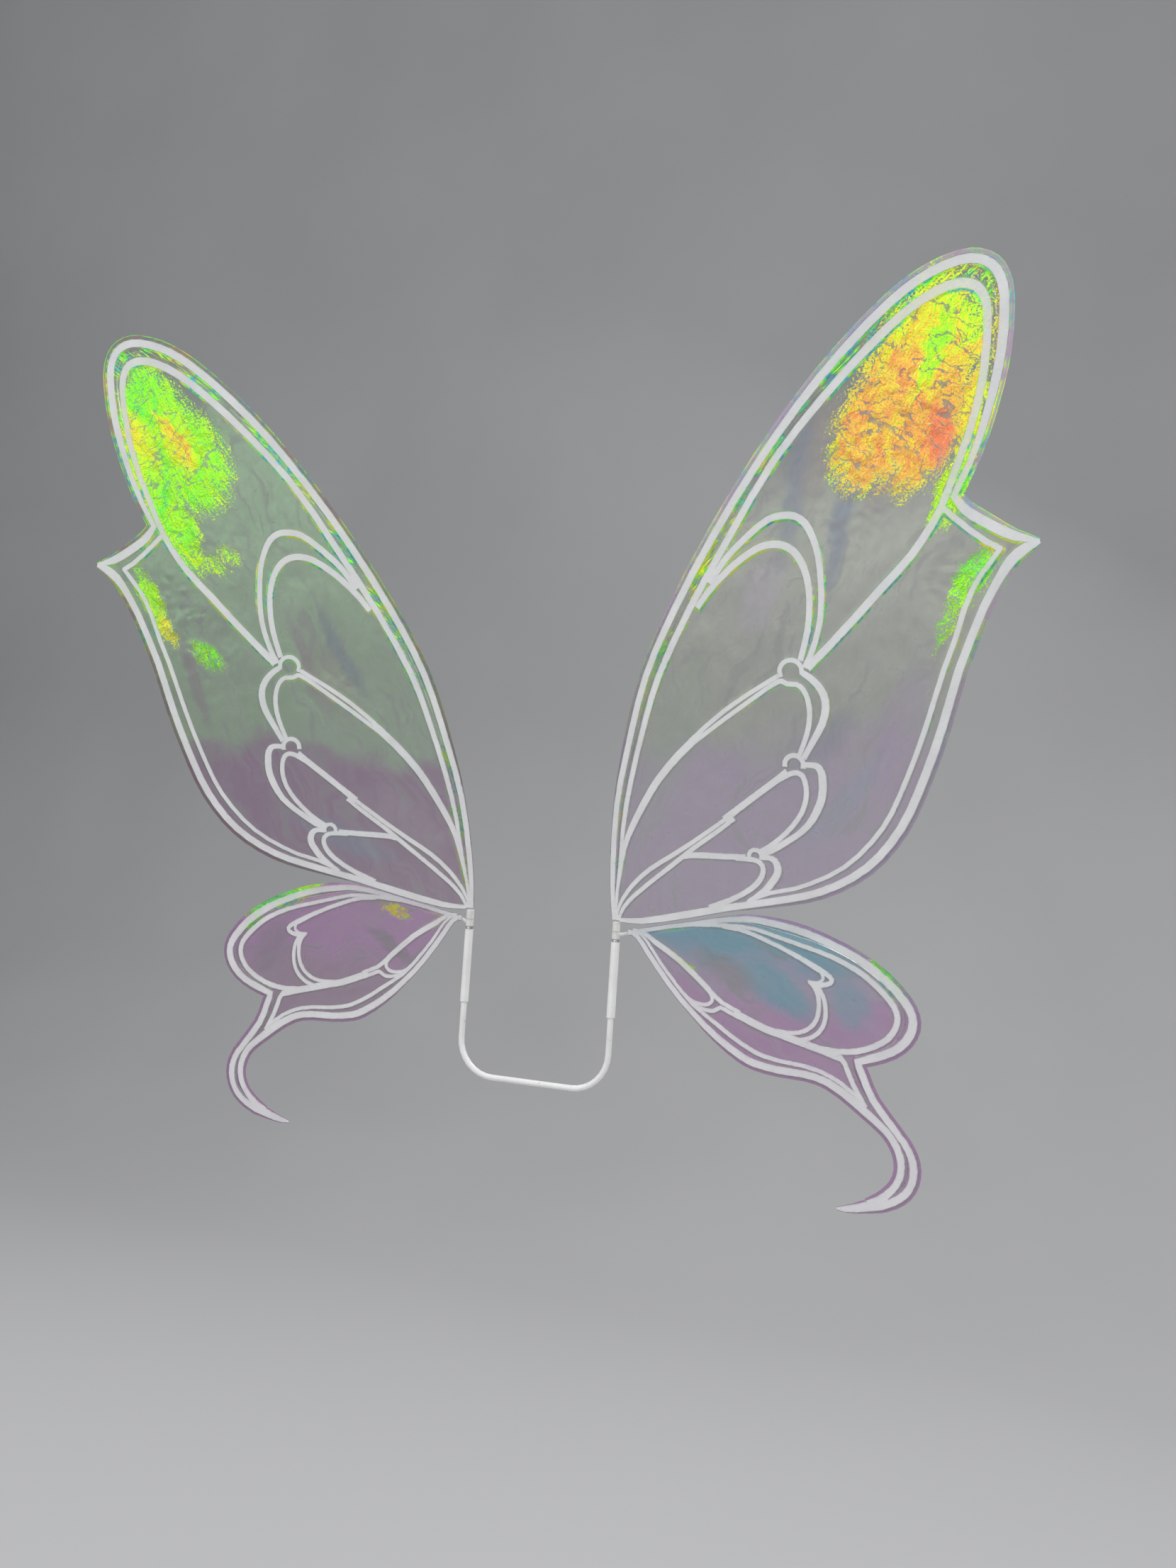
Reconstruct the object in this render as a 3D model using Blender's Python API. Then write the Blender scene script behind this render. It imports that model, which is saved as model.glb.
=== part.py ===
"""Fairy wings: four clear film wings with a white vein sheet, on two posts of a tuck-in wire frame.

Frame: +Z up, +X to the wearer's right seen from behind, -Y away from the wearer's back. The origin is
the middle of the frame's bottom bar. Each wing is drawn flat in its own plane, with u outboard from its
root and v up the plane, in millimetres, and its empty on the post's axis sets its sweep and its lean.
"""

import math

import bmesh
import bpy
from mathutils import Vector
from mathutils.geometry import delaunay_2d_cdt

MM = 0.001

# Driving dimensions, in metres.
POST_X = 0.065            # post axes, either side of the middle
ROOT_Z = 0.135            # height of the wing roots over the bottom bar
ROOT_OUTBOARD = 0.0033    # from a post's axis to u = 0

FILM = 0.00025            # thickness of one film
VEIN = 0.0005             # thickness of the white vein sheet
GAP = 0.0003              # clearance between neighbouring sheets
WIRE_RADIUS = 0.0005

ROD_RADIUS = 0.0025       # base frame rod
CORNER_RADIUS = 0.030     # its two bottom bends
ROD_TOP = ROOT_Z - 0.061  # upper ends of its legs

POST_RADIUS = 0.0015
POST_BOTTOM = ROOT_Z - 0.058
POST_TOP = ROOT_Z - 0.0003
COLLAR_RADIUS = 0.0030
COLLAR_TOP = ROOT_Z - 0.0123
COLLAR_HEIGHT = 0.0017

SOCKET_RADIUS = 0.0035
SOCKET_BOTTOM = ROOT_Z - 0.075
SOCKET_TOP = COLLAR_TOP - COLLAR_HEIGHT - GAP
POST_CLEARANCE = 0.0004   # round the post in the socket and in the knuckles
ROD_CLEARANCE = 0.0003

KNUCKLE_RADIUS = 0.00325
UPPER_KNUCKLE = (ROOT_Z - 0.0060, ROOT_Z + 0.0020)
LOWER_KNUCKLE = (ROOT_Z - 0.0120, ROOT_Z - 0.0063)
KNUCKLE_ROOF = 0.0020     # solid end over the post in the upper knuckle

# How each pair of wings is set on its post: degrees, metres towards -Y from the post's axis, and how
# far out of the wing's plane its wire enters the knuckle.
UPPER_SET = {"sweep": 10.5, "lean": 15.0, "offset": 0.0015, "entry": 0.0004}
LOWER_SET = {"sweep": 4.0, "lean": 12.2, "offset": -0.0022, "entry": -0.0042}

CURVE_TOLERANCE = 0.20    # millimetres that a chord may leave a vein's curve
FILM_TOLERANCE = 0.20
MERGE = 1e-4              # millimetres within which a sheet's points are one
SIDES = 24                # facets round a turned piece
SHARP = 40                # degrees over which a turned piece's edge shows as sharp
BEND_STEPS = 8            # straight lengths in each bend of the base frame
RING_STEPS = 7            # straight lengths in a small vein circle's arc
ROD_ROUNDNESS = 4         # bevel resolution of the base frame's rod
WIRE_ROUNDNESS = 1        # and of the stiffening wires


def ring(centre_u, centre_v, radius, start, end, width):
    """An arc stroke round a small open circle, angles in degrees, clockwise when end is under start."""
    shares = [i / RING_STEPS for i in range(RING_STEPS + 1)]
    angles = [math.radians(start + (end - start) * share) for share in shares]
    return [(centre_u + radius * math.cos(a), centre_v + radius * math.sin(a), width) for a in angles]


# The vein sheets: each vein is a stroke of (u, v, width) stations that a smooth curve joins.
UPPER_VEINS = {
    "outer_band": [
        (-4.4, 4.3, 3.4), (-4.4, 20, 3.6), (-2.3, 50, 4.4), (4.8, 100, 4.6), (15.9, 140, 4.9),
        (36.5, 200, 5.1), (63.8, 250, 5.4), (97, 300, 5.6), (135.2, 350, 5.6), (181.2, 400, 6),
        (229.7, 440, 6), (256, 453.5, 6), (280, 457.2, 5.8), (293, 451.2, 5.8), (299.2, 439, 5.8),
        (300.2, 423, 6), (298.2, 400, 6), (294.2, 380, 5.6), (285.2, 350, 4.8), (276.8, 330, 4.4),
        (268.3, 313.5, 4.2)],
    "spike_upper": [
        (267, 314.5, 4), (275, 304, 6.2), (284.5, 296.8, 6.5), (295, 290.3, 6.5), (306, 284.6, 6),
        (320.5, 280.2, 2.6)],
    "lower_edge": [
        (321, 280, 2), (313, 277, 6.5), (303.5, 269.5, 7), (296.9, 260, 5.8), (286, 240, 5.4),
        (277.7, 220, 5.4), (270, 200, 5.6), (258, 160, 5.8), (246.5, 128, 5.8), (229, 90, 5.8),
        (204, 60.2, 5.6), (170, 40.4, 5.4), (130, 29.6, 5.2), (95, 22.3, 5.2), (60, 13.9, 5.6),
        (20, 5.2, 4.6), (1, 4.6, 3)],
    "inner_band": [
        (-3.4, 5, 2.4), (-0.6, 25, 2.6), (3.2, 45, 3), (6, 62, 3.2), (8.8, 80, 3.4), (13.2, 100, 4),
        (25, 140, 4.2), (35.2, 170, 4.6), (47.4, 200, 5), (76.3, 250, 5.2), (110.5, 300, 5.2),
        (147, 350, 5.4), (199.6, 401.6, 5.8), (240, 432.6, 6), (260, 441.6, 6), (273, 443.6, 6),
        (283.5, 440, 6), (289.2, 430, 5.4), (290, 417, 5), (288.8, 400, 5.2), (286, 380, 5.2),
        (277.5, 350, 5), (269.5, 330, 4.8), (259, 305, 5), (240, 277.3, 5.4), (220, 257.2, 5.6),
        (200, 236.8, 5.6), (180, 217.3, 5.6), (165, 203.5, 6)],
    "spike_inner": [
        (260.5, 306.5, 4), (268, 299.5, 3.8), (278, 290.5, 3.8), (288, 282.5, 3.8), (297.5, 276.8, 3.8)],
    "lower_inner": [
        (297.5, 278.2, 3), (290, 268.5, 3.6), (283.5, 260, 3.6), (273.8, 240, 3.8), (267.7, 220, 3.6),
        (260, 200, 3.6), (247, 160, 3.6), (233.7, 125, 3.4), (216.4, 90, 3.4), (187.3, 59.5, 3.2),
        (150, 41.2, 3), (130, 36.3, 3), (114, 30, 3)],
    "arch_outer": [
        (93, 267, 4.6), (105, 282.5, 4.8), (120, 295.6, 4.8), (140, 309, 4.8), (150, 310.8, 5),
        (159, 309.8, 5), (166.5, 304.5, 5), (172, 294, 4.6), (175.6, 281, 4.4), (177, 262, 4.4),
        (176.6, 245, 4.4), (174, 230, 4.2), (167.5, 212, 4.2), (163, 204, 4)],
    "arch_inner": [
        (82, 250, 4.6), (91, 260.5, 4.8), (110, 277.3, 5), (130.6, 289.5, 5), (141.5, 291.6, 5.2),
        (150, 290.4, 5.2), (157, 286.2, 5.2), (162.5, 279, 5), (166.8, 267.5, 4.8), (168.4, 252, 4.6),
        (166.4, 231, 4.6), (160, 209, 4.2)],
    "ring_1_line": [
        (-1.6, 15, 1.6), (0.7, 30, 2), (5.2, 50, 3.4), (9.6, 66, 4), (16, 80, 5), (28, 100, 5.6),
        (42, 120, 5.8), (61, 140, 6), (75.5, 152.6, 6)],
    "ring_1_upper": [
        (71, 150.5, 3.8), (85, 162.3, 3.4), (100, 173.5, 3.4), (120, 186, 3.4), (143, 198.6, 3.4)],
    "ring_1_lower": [
        (70, 147, 3.6), (85, 157.3, 3.4), (100, 167.5, 3.4), (120, 180.5, 3.4), (132, 188.3, 3.4),
        (141.8, 193.9, 3.6), (145.3, 194.8, 3.8), (149.5, 192.7, 3.6), (156.5, 192.2, 3.6),
        (161.3, 188.4, 3.6), (164.6, 181, 3.7), (165.7, 170, 3.8), (163.2, 156.5, 3.8), (156.5, 140, 3.4)],
    "ring_1": ring(152.6, 201.2, 8.5, 205, -12, 3.4),
    "scallop_1": [
        (160.6, 200.8, 4), (165.5, 197.6, 4.6), (172, 191.5, 5), (176.5, 184, 5.4), (177.6, 175, 5.6),
        (174.8, 164, 5.4), (168.3, 152.4, 4.8), (160, 138.5, 4)],
    "ring_2": ring(152.6, 133.6, 7.2, 190, -20, 3.6),
    "scallop_2": [
        (158.5, 133.8, 4), (165, 133.9, 4), (169.8, 133, 4.6), (172.8, 129, 5.4), (173.7, 121, 5.8),
        (172.8, 110.5, 5.8), (168.3, 99.4, 5.6), (161.7, 89.4, 5), (151.8, 80.8, 4.4), (142, 74.5, 4.6),
        (133, 69, 4.4), (124, 65.5, 4)],
    "ring_2_lower": [
        (140, 122.5, 4.2), (149.5, 127.2, 3.8), (155, 128, 3.8), (159, 125.3, 3.8), (161.1, 118, 3.7),
        (160.8, 109, 3.7), (157.4, 99, 3.7), (150.2, 88.8, 3.7), (140, 78.7, 3.7), (130, 71.3, 3.7),
        (123, 67.5, 3.4)],
    "ring_2_line": [(96, 91.2, 5.2), (120, 108.8, 4.9), (140, 123.2, 5), (147, 128.8, 4.8)],
    "ring_2_strand_upper": [
        (-2.4, 6, 1.8), (0, 13.5, 2.4), (5, 22.8, 3), (15, 35, 3.4), (30, 48, 3.6), (50, 60.3, 3.6),
        (70, 72.9, 3.4), (90, 86.5, 3.2), (104, 96.4, 3)],
    "ring_2_strand_lower": [
        (0, 5, 1.8), (2, 10, 2.6), (5, 15.2, 3), (15, 25.6, 3.4), (30, 37.6, 3.4), (50, 52.7, 3.6),
        (70, 68, 3.6), (90, 81.7, 3.4), (104, 92, 3.2)],
    "ring_3_line": [(58, 59.5, 3), (66, 61.7, 4.4), (90, 62.3, 4.4), (112, 62.8, 4.2)],
    "ring_3": ring(119.7, 63.9, 5.1, 195, -25, 3.2),
    "scallop_3": [
        (124, 63.4, 3.8), (130.5, 63.5, 4), (135, 61.3, 4.8), (137.2, 56.3, 5.6), (136.4, 51, 5.6),
        (133, 45.8, 5.6), (126.5, 38, 5.2), (119, 32.5, 4), (112, 28, 3)],
    "ring_3_lower": [
        (104, 61.8, 4), (114, 61.4, 3.6), (121, 60.5, 3.6), (125, 57, 3.8), (125.4, 52, 4),
        (122.6, 46, 4.2), (116, 39.2, 4.2), (108, 33.8, 4), (97, 28, 4.2), (80, 21.2, 4)],
    "root": [(-2.2, 4.3, 7.4), (-1.6, 9, 7)],
}

LOWER_VEINS = {
    "outer_band": [
        (6, -7, 3), (15, -4.7, 3.2), (30, -1.2, 3.2), (45, 2.1, 3), (60, 5.2, 3), (75, 8.4, 3.4),
        (90, 11.1, 4), (102, 12.6, 4.6), (115, 12.3, 4.9), (130, 10.2, 5.1), (150, 5.8, 5.6),
        (170, -1.5, 5.8), (190, -10.8, 6.2), (210, -24.5, 6.4), (225, -40.5, 6.2), (230.4, -50.5, 5.8),
        (230.6, -60, 6.4), (226, -70.5, 6.4), (216.5, -79.6, 6.2), (202, -86.6, 6.2), (189, -91.5, 5)],
    "tail_outer": [
        (190, -88.5, 4), (192, -95, 5.2), (194.6, -101, 5.4), (198, -110, 5.4), (203, -120, 5.4),
        (210.4, -130, 5.4), (218.4, -140, 5.2), (226.3, -150, 5.2), (231.5, -160, 5.4),
        (233.5, -170, 5.6), (232.3, -181, 5.4), (227.5, -190.5, 5.6), (219, -198, 6), (209, -203.5, 6)],
    "tail_tip": [
        (216, -198, 7), (208, -202.6, 8), (200, -205.2, 7.4), (190, -208.6, 6), (183, -210.4, 4.4),
        (176.2, -211.2, 1.2)],
    "tail_inner": [
        (180, -116.7, 6.4), (190, -123.8, 6.6), (198, -130.3, 6.2), (205, -136, 5.6), (212, -142, 5.4),
        (218.5, -150, 5.4), (223, -160, 5.4), (224.4, -170, 5.2), (222.8, -179.5, 5.2),
        (218, -188.5, 5.2), (209, -198, 6), (200, -203, 5)],
    "lower_band": [
        (6, -5, 2.5), (14, -9.5, 3.6), (22, -20.7, 4), (30, -32, 4.2), (40, -45.3, 4.2),
        (50, -57.1, 4.2), (60, -67.4, 4.4), (70, -77, 4.8), (80, -85.2, 5.2), (90, -92.4, 5.6),
        (100, -98.5, 5.8), (110, -102.7, 5.8), (130, -105.7, 5.8), (150, -106.3, 5.6),
        (160, -107.8, 5.6), (170, -111.3, 5.8), (182, -118, 6.2)],
    "lower_inner": [
        (10, -5.5, 2), (17, -7.2, 2), (27, -19.7, 2.4), (33.5, -29.4, 2.6), (41.6, -39.6, 2.8),
        (50.2, -50, 3), (60, -60.2, 3.2), (70, -67.9, 3), (80, -74.6, 3.2), (90, -81.8, 3.4),
        (100, -88, 3.4), (110, -93.2, 3.4), (120, -96.4, 3.4), (130, -98.1, 3.2), (150, -99.8, 3.2),
        (160, -101.7, 3.2), (170, -105.3, 3.2), (180, -110.7, 3.2), (194, -121, 2.6)],
    "almond_upper": [
        (10, -4, 2), (18, -5, 3), (30, -13, 4.4), (40, -19.1, 4.6), (50, -25.9, 4.6), (60.6, -35, 4.6),
        (70, -43.6, 4.4), (78, -51.2, 3.8), (84, -56.2, 3.4), (91, -59.6, 3.2), (99, -63.2, 3.2)],
    "almond_lip": [
        (68, -42.5, 3), (72.8, -47.2, 3.2), (76, -51.5, 3), (76.3, -55.8, 2.8), (73.3, -58.9, 3),
        (67, -59.8, 3), (60, -58.2, 3), (55, -55, 2.6)],
    "second_lip": [
        (60, -60.4, 2.6), (66, -62.8, 2.8), (72, -64.1, 3), (77.5, -64, 3.2), (81, -61.9, 3.2),
        (83.3, -60.6, 3.2), (90, -63.5, 3.2), (99, -67.2, 3.2)],
    "main_line": [
        (94, -63.4, 5.2), (100, -66, 5.8), (120, -74, 5.8), (140, -79, 6), (160, -84.4, 5.8),
        (170, -87.2, 5.6), (178, -90, 5)],
    "tail_left": [
        (177, -88.2, 4), (181.2, -93.5, 3.8), (184.2, -101, 3.8), (188, -110, 3.8), (192.5, -118.5, 4),
        (197, -126, 4)],
    "top_inner": [
        (10, -5.6, 2), (30, -1.1, 3), (45, 2.1, 3.2), (60, 4.7, 3.2), (80, 6, 3.4), (95, 6.4, 3.2),
        (110, 5.6, 3), (120, 3.2, 3), (130, 0.4, 3), (150, -5, 3.2), (170, -10.8, 3.6), (190, -20, 4.2),
        (200, -27, 4.4), (210, -36, 4.6), (217.3, -45, 4.4), (219.8, -53, 4.2), (218.5, -61, 4.4),
        (213, -70, 4.6), (204, -76.8, 4.6), (190, -82.8, 4.6), (175, -84.8, 4.4), (160, -84.2, 4.6)],
    "heart_top": [
        (85, 5.4, 3.2), (100, 3.7, 3.2), (110, 0.9, 3.2), (120, -2.8, 3.4), (130, -6.7, 3.4),
        (140, -11.2, 3.6), (150, -16, 4), (160, -21.4, 4.6), (166.5, -24.8, 3.8), (170.8, -28.6, 3.6),
        (169.5, -31.8, 3.6), (163.5, -33.8, 4), (156, -34.5, 4)],
    "heart_notch": [(162.8, -23, 3.6), (164.2, -28.8, 2.2), (160, -32.8, 3.4), (152.4, -31.4, 0.8)],
    "heart_inner": [
        (153, -32, 2), (158.2, -36, 4.4), (160.7, -43, 3.6), (161.2, -50, 3.2), (160.4, -58, 3.4),
        (157.4, -65, 3.4), (152.3, -70.2, 3.4), (146, -73.4, 3.2), (137, -74.6, 3), (128, -74, 3)],
    "heart_outer": [
        (160.5, -35.5, 3), (164, -42, 3.2), (166, -50, 3.2), (166.1, -60, 3.2), (163.7, -67.6, 3.4),
        (159.6, -73, 3.4), (154, -77, 3.4), (146, -79.3, 3), (136, -78.6, 3)],
}

# The strokes that run round each wing.
UPPER_EDGE = ["root", "outer_band", "spike_upper", "lower_edge"]
LOWER_EDGE = ["outer_band", "tail_outer", "tail_tip", "tail_inner", "lower_band"]

# Where each film runs out to a point, and how its clear margin outside the white edge grows from the root.
UPPER_MARGIN = {"tip": (321, 280), "near": 0.7, "far": 3.3, "start": 70, "end": 190}
LOWER_MARGIN = {"tip": (176, -211), "near": 0.7, "far": 3.0, "start": 75, "end": 150}
TIP_REACH = 45            # the margin narrows over this distance from the point
TIP_SHARE = 0.25

# The stiffening wires, drawn along the clear gap inside each outer band.
UPPER_WIRE = [
    (-3.3, 2.9), (-3.2, 8), (-3, 20), (1.2, 50), (4.4, 75), (9.2, 100), (20.5, 140), (42, 200), (70, 250),
    (103.5, 300), (141, 350), (190.5, 401), (235, 436), (258, 447.8), (277, 450.4), (289.5, 445),
    (294.8, 432), (294.5, 412), (292.3, 395)]
LOWER_WIRE = [
    (0.7, -8.2), (4.2, -7.8), (8, -6.8), (15, -5.2), (40, 0.7), (60, 4.6), (85, 8.7), (105, 9.5),
    (130, 5.3),
    (150, 0.7), (170, -5.8), (190, -15.3), (205, -26), (217, -37.5), (224.7, -50), (225, -60),
    (219.5, -71), (206, -80.5), (192, -86), (187.4, -90), (188.5, -97), (193, -108.5), (201, -122),
    (212, -135.8), (222, -149), (227.4, -160), (229, -171), (227, -182), (221, -191), (215, -196.8)]


def clear_scene():
    for obj in list(bpy.data.objects):
        bpy.data.objects.remove(obj, do_unlink=True)


def material(name, colour, roughness, metallic=0.0, transmission=0.0, alpha=1.0):
    made = bpy.data.materials.new(name)
    made.use_nodes = True
    shader = made.node_tree.nodes["Principled BSDF"]
    shader.inputs["Base Color"].default_value = (*colour, 1.0)
    shader.inputs["Roughness"].default_value = roughness
    shader.inputs["Metallic"].default_value = metallic
    shader.inputs["Transmission Weight"].default_value = transmission
    shader.inputs["Alpha"].default_value = alpha
    made.diffuse_color = (*colour, alpha)
    return made


def smooth_curve(stations, tolerance):
    """Points on a centripetal cubic through the stations, closer together where it bends more."""
    points = [Vector(s) for s in stations]
    gaps = [max((b.xy - a.xy).length, 1e-6) ** 0.5 for a, b in zip(points, points[1:])]
    slopes = [(b - a) / g for a, b, g in zip(points, points[1:], gaps)]
    tangents = [slopes[0]]
    for i in range(1, len(slopes)):
        before, after = gaps[i - 1], gaps[i]
        tangents.append((slopes[i - 1] * after + slopes[i] * before) / (before + after))
    tangents.append(slopes[-1])
    found = []
    for i, gap in enumerate(gaps):
        start, end = points[i], points[i + 1]
        turn = tangents[i].xy.angle(tangents[i + 1].xy, 0.0)
        sagitta = (end.xy - start.xy).length * turn / 8
        count = max(1, math.ceil(math.sqrt(sagitta / tolerance)))
        for j in range(count):
            s = j / count
            found.append(
                start * (2 * s**3 - 3 * s**2 + 1) + tangents[i] * gap * (s**3 - 2 * s**2 + s)
                + end * (3 * s**2 - 2 * s**3) + tangents[i + 1] * gap * (s**3 - s**2))
    found.append(points[-1])
    return found


def outline_of(stations, tolerance, extra=None):
    """The closed outline of a stroke. extra(u, v) widens it on each side."""
    line = smooth_curve(stations, tolerance)
    left, right = [], []
    for i, point in enumerate(line):
        along = (line[min(i + 1, len(line) - 1)] - line[max(i - 1, 0)]).xy.normalized()
        side = Vector((-along.y, along.x))
        half = point.z / 2 + (extra(point.x, point.y) if extra else 0.0)
        left.append(point.xy + side * half)
        right.append(point.xy - side * half)
    return left + right[::-1]


def anticlockwise(outline):
    area = sum(a.cross(b) for a, b in zip(outline, outline[1:] + outline[:1]))
    return outline if area > 0 else outline[::-1]


def outside_faces(triangles, owners):
    """The triangles that no outline owns and that open ground joins to the border of the drawing."""
    neighbours = {}
    for i, triangle in enumerate(triangles):
        for a, b in zip(triangle, triangle[1:] + triangle[:1]):
            neighbours.setdefault(frozenset((a, b)), []).append(i)
    reached = set()
    waiting = [pair[0] for pair in neighbours.values() if len(pair) == 1]
    while waiting:
        i = waiting.pop()
        if i in reached or owners[i]:
            continue
        reached.add(i)
        triangle = triangles[i]
        for a, b in zip(triangle, triangle[1:] + triangle[:1]):
            waiting += neighbours[frozenset((a, b))]
    return reached


def sheet_mesh(name, outlines, side, low, high, filled):
    """One flat solid between two depths (+Y, metres): the outlines' union, and all inside it if filled."""
    points, faces = [], []
    for outline in outlines:
        turned = anticlockwise([Vector((side * (p.x + ROOT_OUTBOARD / MM), p.y)) for p in outline])
        faces.append(list(range(len(points), len(points) + len(turned))))
        points += turned
    found, _, triangles, _, _, owners = delaunay_2d_cdt(points, [], faces, 0, MERGE)
    outside = outside_faces(triangles, owners) if filled else set()
    mesh = bmesh.new()
    corners = [mesh.verts.new((p.x * MM, low, p.y * MM)) for p in found]
    for i, triangle in enumerate(triangles):
        if owners[i] or (filled and i not in outside):
            mesh.faces.new([corners[j] for j in triangle])
    bmesh.ops.delete(mesh, geom=[v for v in mesh.verts if not v.link_faces], context="VERTS")
    grown = bmesh.ops.extrude_face_region(mesh, geom=mesh.faces[:], use_keep_orig=True)
    moved = [part for part in grown["geom"] if isinstance(part, bmesh.types.BMVert)]
    bmesh.ops.translate(mesh, verts=moved, vec=(0, high - low, 0))
    bmesh.ops.recalc_face_normals(mesh, faces=mesh.faces[:])
    data = bpy.data.meshes.new(name)
    mesh.to_mesh(data)
    mesh.free()
    return data


def place(name, data, finish, parent=None):
    obj = bpy.data.objects.new(name, data)
    bpy.context.collection.objects.link(obj)
    obj.data.materials.append(finish)
    obj.parent = parent
    return obj


def empty(name, location, rotation=(0, 0, 0), parent=None):
    obj = bpy.data.objects.new(name, None)
    bpy.context.collection.objects.link(obj)
    obj.empty_display_size = 0.01
    obj.location = location
    obj.rotation_euler = rotation
    obj.parent = parent
    return obj


def turned_piece(name, profile, finish, parent):
    """A solid turned about Z from (radius, height) points: a closed profile, or one from axis to axis."""
    mesh = bmesh.new()
    rings = []
    for i in range(SIDES):
        angle = 2 * math.pi * i / SIDES
        rings.append([
            mesh.verts.new((r * math.cos(angle), r * math.sin(angle), z)) if r or i == 0 else None
            for r, z in profile])
    for column, (r, _) in enumerate(profile):
        if not r:
            for line in rings[1:]:
                line[column] = rings[0][column]
    closed = profile[0][0] > 0 and profile[-1][0] > 0
    pairs = [(i, (i + 1) % len(profile)) for i in range(len(profile) - (0 if closed else 1))]
    for i in range(SIDES):
        here, there = rings[i], rings[(i + 1) % SIDES]
        for a, b in pairs:
            corners = [here[a], there[a], there[b], here[b]]
            unique = [v for n, v in enumerate(corners) if v not in corners[:n]]
            if len(unique) > 2:
                mesh.faces.new(unique)
    bmesh.ops.recalc_face_normals(mesh, faces=mesh.faces[:])
    data = bpy.data.meshes.new(name)
    mesh.to_mesh(data)
    mesh.free()
    data.shade_smooth()
    data.set_sharp_from_angle(angle=math.radians(SHARP))
    return place(name, data, finish, parent)


def rod(name, points, radius, resolution, finish, parent=None):
    """A round rod along the points, with flat filled ends."""
    data = bpy.data.curves.new(name, "CURVE")
    data.dimensions = "3D"
    data.bevel_depth = radius
    data.bevel_resolution = resolution
    data.use_fill_caps = True
    spline = data.splines.new("POLY")
    spline.points.add(len(points) - 1)
    for point, where in zip(spline.points, points):
        point.co = (*where, 1.0)
    return place(name, data, finish, parent)


def base_frame(finish):
    """The U of rod: two legs and a bottom bar, joined by two round bends."""
    bend = [math.radians(90 * i / BEND_STEPS) for i in range(BEND_STEPS + 1)]
    centre_x, centre_z = POST_X - CORNER_RADIUS, CORNER_RADIUS
    right = [
        (centre_x + CORNER_RADIUS * math.sin(a), 0.0, centre_z - CORNER_RADIUS * math.cos(a))
        for a in bend]
    right.append((POST_X, 0.0, ROD_TOP))
    left = [(-x, y, z) for x, y, z in right[::-1]]
    rod("base_frame", left + right, ROD_RADIUS, ROD_ROUNDNESS, finish)


def socket(name, finish, parent):
    """The tube over a leg's end, with a narrower bore above the leg for the post."""
    wide, narrow = ROD_RADIUS + ROD_CLEARANCE, POST_RADIUS + POST_CLEARANCE
    shoulder = ROD_TOP + GAP
    turned_piece(name, [
        (SOCKET_RADIUS, SOCKET_TOP), (SOCKET_RADIUS, SOCKET_BOTTOM), (wide, SOCKET_BOTTOM),
        (wide, shoulder), (narrow, shoulder), (narrow, SOCKET_TOP)], finish, parent)


def post(name, finish, parent):
    """The pin that both wings of a side turn on, with the collar that rests on the socket."""
    turned_piece(name, [
        (0.0, POST_TOP), (POST_RADIUS, POST_TOP), (POST_RADIUS, COLLAR_TOP),
        (COLLAR_RADIUS, COLLAR_TOP), (COLLAR_RADIUS, COLLAR_TOP - COLLAR_HEIGHT),
        (POST_RADIUS, COLLAR_TOP - COLLAR_HEIGHT), (POST_RADIUS, POST_BOTTOM),
        (0.0, POST_BOTTOM)], finish, parent)


def knuckle(name, span, finish, parent, roof=0.0):
    """A bound sleeve round the post. With a roof, it is closed over the post's end."""
    low, high = span
    bore = POST_RADIUS + POST_CLEARANCE
    outside = [(KNUCKLE_RADIUS, high), (KNUCKLE_RADIUS, low), (bore, low)]
    if roof:
        profile = [(0.0, high), *outside, (bore, high - roof), (0.0, high - roof)]
    else:
        profile = [*outside, (bore, high)]
    turned_piece(name, profile, finish, parent)


def margin_rule(rule):
    """How far the film runs past the white edge at a place: narrow by the root and at the point."""
    def rise(value, start, end):
        share = min(max((value - start) / (end - start), 0.0), 1.0)
        return share * share * (3 - 2 * share)

    def margin(u, v):
        wide = rule["near"] + (rule["far"] - rule["near"]) * rise(
            math.hypot(u, v), rule["start"], rule["end"])
        from_tip = math.hypot(u - rule["tip"][0], v - rule["tip"][1])
        return wide * (TIP_SHARE + (1 - TIP_SHARE) * rise(from_tip, 0.0, TIP_REACH))
    return margin


def film_outlines(veins, edge, rule):
    """The strokes round the film's edge, with its margin outside them."""
    margin = margin_rule(rule)
    return [outline_of(veins[name], FILM_TOLERANCE, margin) for name in edge]


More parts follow.
